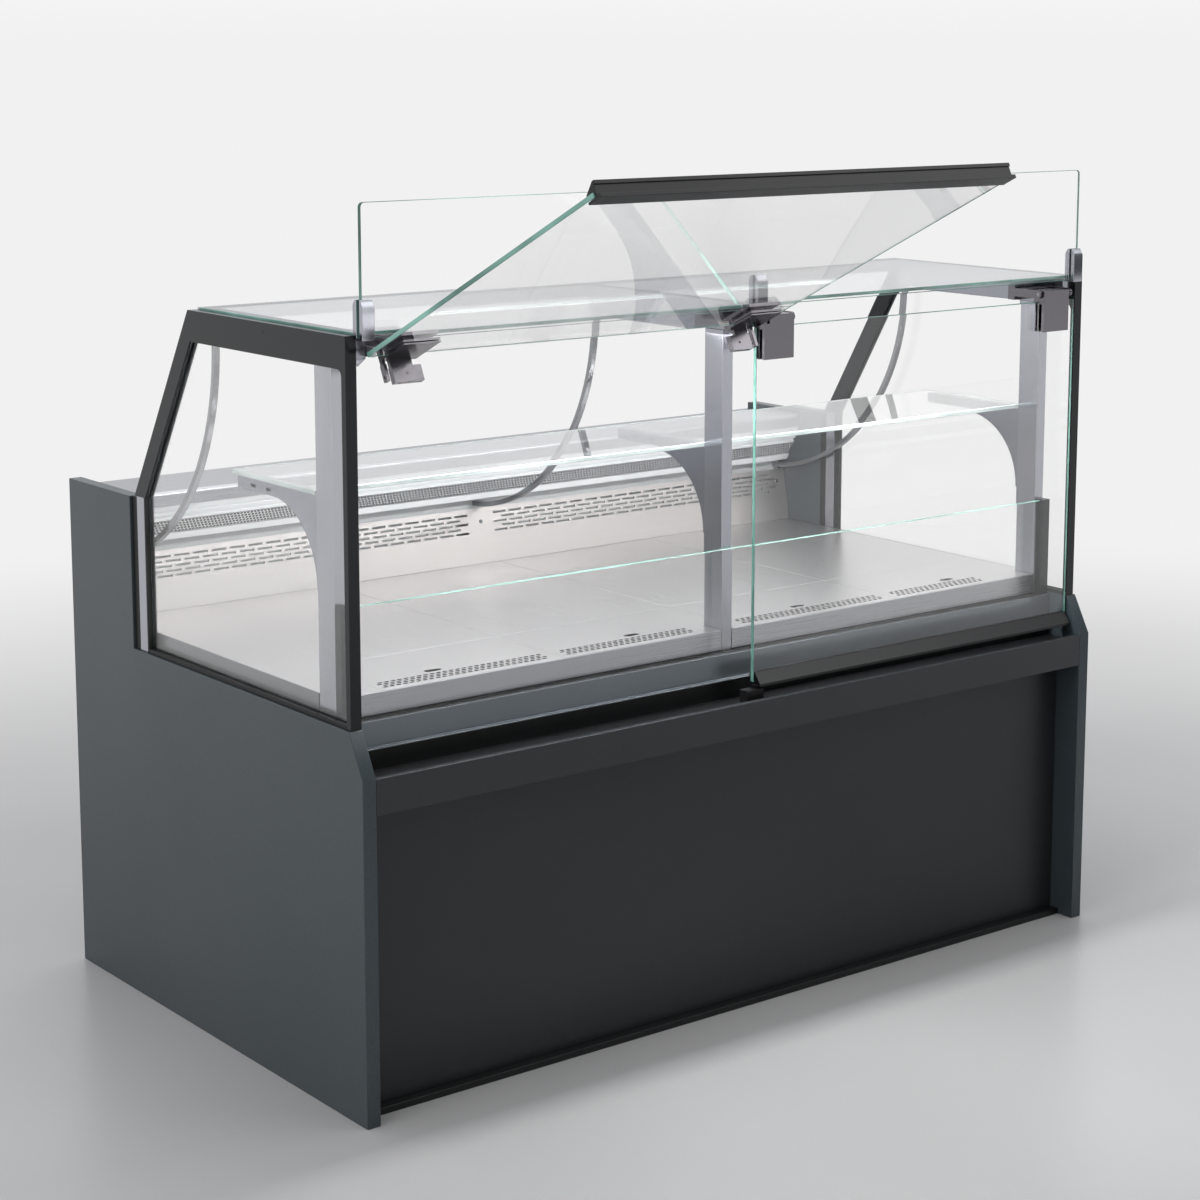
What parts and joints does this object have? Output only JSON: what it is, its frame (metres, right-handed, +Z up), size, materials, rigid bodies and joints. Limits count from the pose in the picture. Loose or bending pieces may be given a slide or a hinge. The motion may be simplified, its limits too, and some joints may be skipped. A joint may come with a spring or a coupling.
{
  "type": "refrigerated deli case",
  "caption": "Long glass-fronted chilled serve-over counter on a solid base, with flip-up front panes, glass shelf, perforated deck and rear worktop.",
  "frame": {"origin": "centre of the whole object's box, left pane raised, at floor level", "axes": "+Z up, X along the length, +Y from the customer's side to the operator's side"},
  "size_m": [1.72, 1.5996, 1.5749],
  "materials": {
    "laminate": "satin wood-grain laminate, dark blue-grey",
    "front_laminate": "satin laminate, dark blue-grey",
    "frame_paint": "satin paint, dark grey",
    "ledge_paint": "satin paint, blue-grey",
    "black_plastic": "matt black",
    "rubber": "matt black",
    "stainless": "brushed along its length",
    "deck_steel": "fine brushed",
    "galvanised": "galvanised, dull",
    "white_sheet": "white-grey powder coat",
    "rear_paint": "grey powder coat",
    "aluminium": "brushed anodised",
    "chrome": "polished",
    "hinge_metal": "satin, slightly warm",
    "glass": "clear, green edges",
    "copper": "bare copper",
    "green_plastic": "glossy",
    "tube_light": "opal white"
  },
  "bodies": {
    "case": {"end_panel_left": "laminate", "end_panel_right": "laminate", "base_frame": "galvanised", "levelling_feet": "black_plastic", "plinth_strip": "black_plastic", "fascia_band": "front_laminate", "front_panel": "front_laminate", "sill_ledge": "ledge_paint", "rest_channel": "black_plastic", "thermal_break": "black_plastic", "front_lip": "stainless", "tank": "white_sheet", "rear_panel": "rear_paint", "worktop": "stainless", "outlet_cover": "stainless", "honeycomb": "front_laminate", "duct_panel": "stainless", "duct_screws": "chrome", "tray_rails": "galvanised", "side_linings": "stainless", "front_trays": "deck_steel", "rear_trays": "deck_steel", "return_grilles": "deck_steel", "fan_plate": "galvanised", "fan_motors": "black_plastic", "evaporator_fins": "aluminium", "evaporator_tubes": "copper", "drain_outlet": "galvanised", "terminal_box": "black_plastic", "controller": "black_plastic", "columns": "aluminium", "top_arms": "aluminium", "shelf_brackets": "aluminium", "rear_supports": "chrome", "rear_rail": "aluminium", "light_tube": "tube_light", "side_frame_left": "frame_paint", "side_frame_right": "frame_paint", "side_posts": "aluminium", "rubber_parts": "rubber", "side_glass_left": "glass", "side_glass_right": "glass", "shelf_glass": "glass", "top_glass": "glass", "upstand_glass": "glass", "upstand_clamps": "aluminium", "riser_glass": "glass", "riser_holders": "frame_paint", "hinge_brackets": "hinge_metal", "hinge_pins": "chrome"},
    "left_pane": {"left_pane_glass": "glass", "left_pane_fittings": "hinge_metal", "left_pane_handle": "frame_paint"},
    "right_pane": {"right_pane_glass": "glass", "right_pane_fittings": "hinge_metal", "right_pane_handle": "frame_paint"},
    "fan_left": {"fan_left": "black_plastic"},
    "fan_centre": {"fan_centre": "black_plastic"},
    "fan_right": {"fan_right": "black_plastic"},
    "light_switch": {"light_switch": "green_plastic"}
  },
  "joints": [
    {"name": "left_pane_hinge", "type": "hinge", "parent": "case", "child": "left_pane", "pos_m": [-0.417, -0.18417, 1.277], "axis": [1, 0, 0], "range_deg": [0, 115.5]},
    {"name": "right_pane_hinge", "type": "hinge", "parent": "case", "child": "right_pane", "pos_m": [0.417, -0.18417, 1.277], "axis": [1, 0, 0], "range_deg": [-115.5, 0]},
    {"name": "fan_left_spin", "type": "hinge", "parent": "case", "child": "fan_left", "pos_m": [-0.5004, 0.09583, 0.484], "axis": [0, 1, 0], "continuous": true},
    {"name": "fan_centre_spin", "type": "hinge", "parent": "case", "child": "fan_centre", "pos_m": [0, 0.09583, 0.484], "axis": [0, 1, 0], "continuous": true},
    {"name": "fan_right_spin", "type": "hinge", "parent": "case", "child": "fan_right", "pos_m": [0.5004, 0.09583, 0.484], "axis": [0, 1, 0], "continuous": true},
    {"name": "light_switch_rocker", "type": "hinge", "parent": "case", "child": "light_switch", "pos_m": [0.704, 0.77783, 0.847], "axis": [1, 0, 0], "range_deg": [0, 16]}
  ]
}
